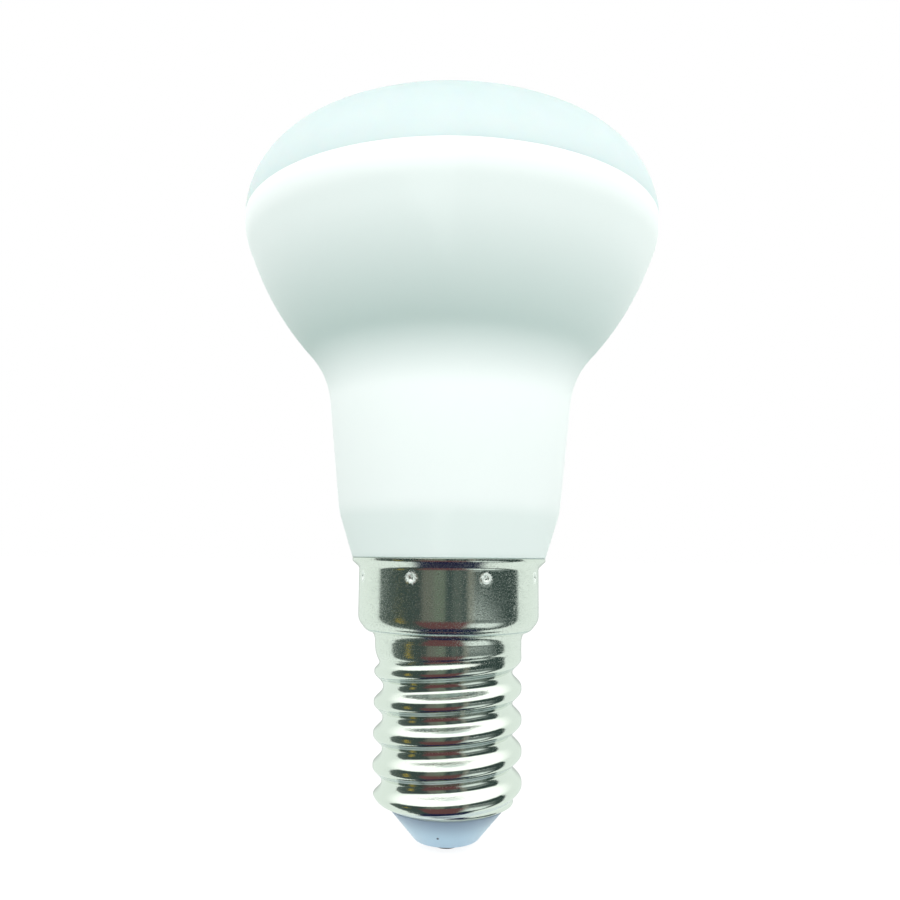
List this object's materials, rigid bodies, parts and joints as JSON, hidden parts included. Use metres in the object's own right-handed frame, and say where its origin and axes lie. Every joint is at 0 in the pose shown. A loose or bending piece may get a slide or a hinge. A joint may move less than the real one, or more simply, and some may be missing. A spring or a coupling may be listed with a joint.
{
  "type": "led light bulb",
  "caption": "Reflector-shaped LED lamp: low opal dome on a white moulded housing, over a small nickel-plated screw cap with an insulated centre contact.",
  "frame": {"origin": "centre of the contact face at the end of the screw cap, on the lamp's axis", "axes": "+Z along the lamp's axis from the contact to the dome; the picture looks along +Y with +X to the right"},
  "size_m": [0.0404, 0.0404, 0.0684],
  "materials": {
    "opal_cover": "satin opal polycarbonate",
    "white_housing": "fine matt moulded plastic",
    "nickel_shell": "bright nickel plate with a fine grain",
    "grey_insulator": "satin moulded plastic",
    "contact_metal": "dull tinned brass"
  },
  "bodies": {
    "root": {"diffuser_cover": "opal_cover", "housing": "white_housing", "screw_shell": "nickel_shell", "cap_insulator": "grey_insulator", "centre_contact": "contact_metal"}
  },
  "joints": []
}
